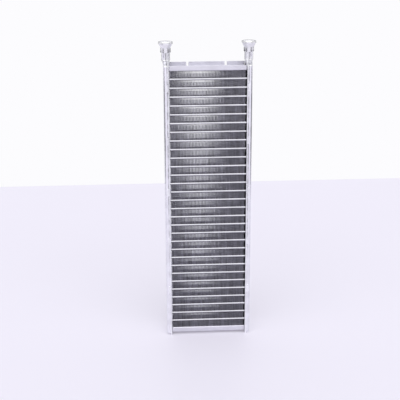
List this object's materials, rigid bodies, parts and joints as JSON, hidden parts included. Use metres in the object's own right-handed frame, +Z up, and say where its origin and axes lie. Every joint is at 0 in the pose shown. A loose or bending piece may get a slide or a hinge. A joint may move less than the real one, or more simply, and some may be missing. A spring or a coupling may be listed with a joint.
{
  "type": "heater core",
  "caption": "Tall narrow brazed aluminium heater core: flat tubes and folded fins between two slim end tanks, each with an upright pipe mouth on top.",
  "frame": {"origin": "middle of the base, on the plane that the two tank ends stand on", "axes": "+Z up along the tanks, +X to the right-hand tank, the front face of the core looks along -Y"},
  "size_m": [0.1084, 0.031, 0.3472],
  "materials": {
    "fin": "mill finish, thin folded sheet",
    "tube": "mill finish, brazed",
    "side_plate": "mill finish, brazed",
    "header_plate": "satin, pressed sheet",
    "tank_cover": "satin, pressed sheet",
    "pipe_socket": "turned, satin"
  },
  "bodies": {
    "root": {"fin_01": "fin", "fin_02": "fin", "fin_03": "fin", "fin_04": "fin", "fin_05": "fin", "fin_06": "fin", "fin_07": "fin", "fin_08": "fin", "fin_09": "fin", "fin_10": "fin", "fin_11": "fin", "fin_12": "fin", "fin_13": "fin", "fin_14": "fin", "fin_15": "fin", "fin_16": "fin", "fin_17": "fin", "fin_18": "fin", "fin_19": "fin", "fin_20": "fin", "fin_21": "fin", "fin_22": "fin", "fin_23": "fin", "fin_24": "fin", "fin_25": "fin", "fin_26": "fin", "fin_27": "fin", "fin_28": "fin", "fin_29": "fin", "fin_30": "fin", "fin_31": "fin", "tube_pair_01": "tube", "tube_pair_02": "tube", "tube_pair_03": "tube", "tube_pair_04": "tube", "tube_pair_05": "tube", "tube_pair_06": "tube", "tube_pair_07": "tube", "tube_pair_08": "tube", "tube_pair_09": "tube", "tube_pair_10": "tube", "tube_pair_11": "tube", "tube_pair_12": "tube", "tube_pair_13": "tube", "tube_pair_14": "tube", "tube_pair_15": "tube", "top_side_plate": "side_plate", "bottom_side_plate": "side_plate", "right_header_plate": "header_plate", "right_tank_cover": "tank_cover", "right_pipe_socket": "pipe_socket", "left_header_plate": "header_plate", "left_tank_cover": "tank_cover", "left_pipe_socket": "pipe_socket"}
  },
  "joints": []
}
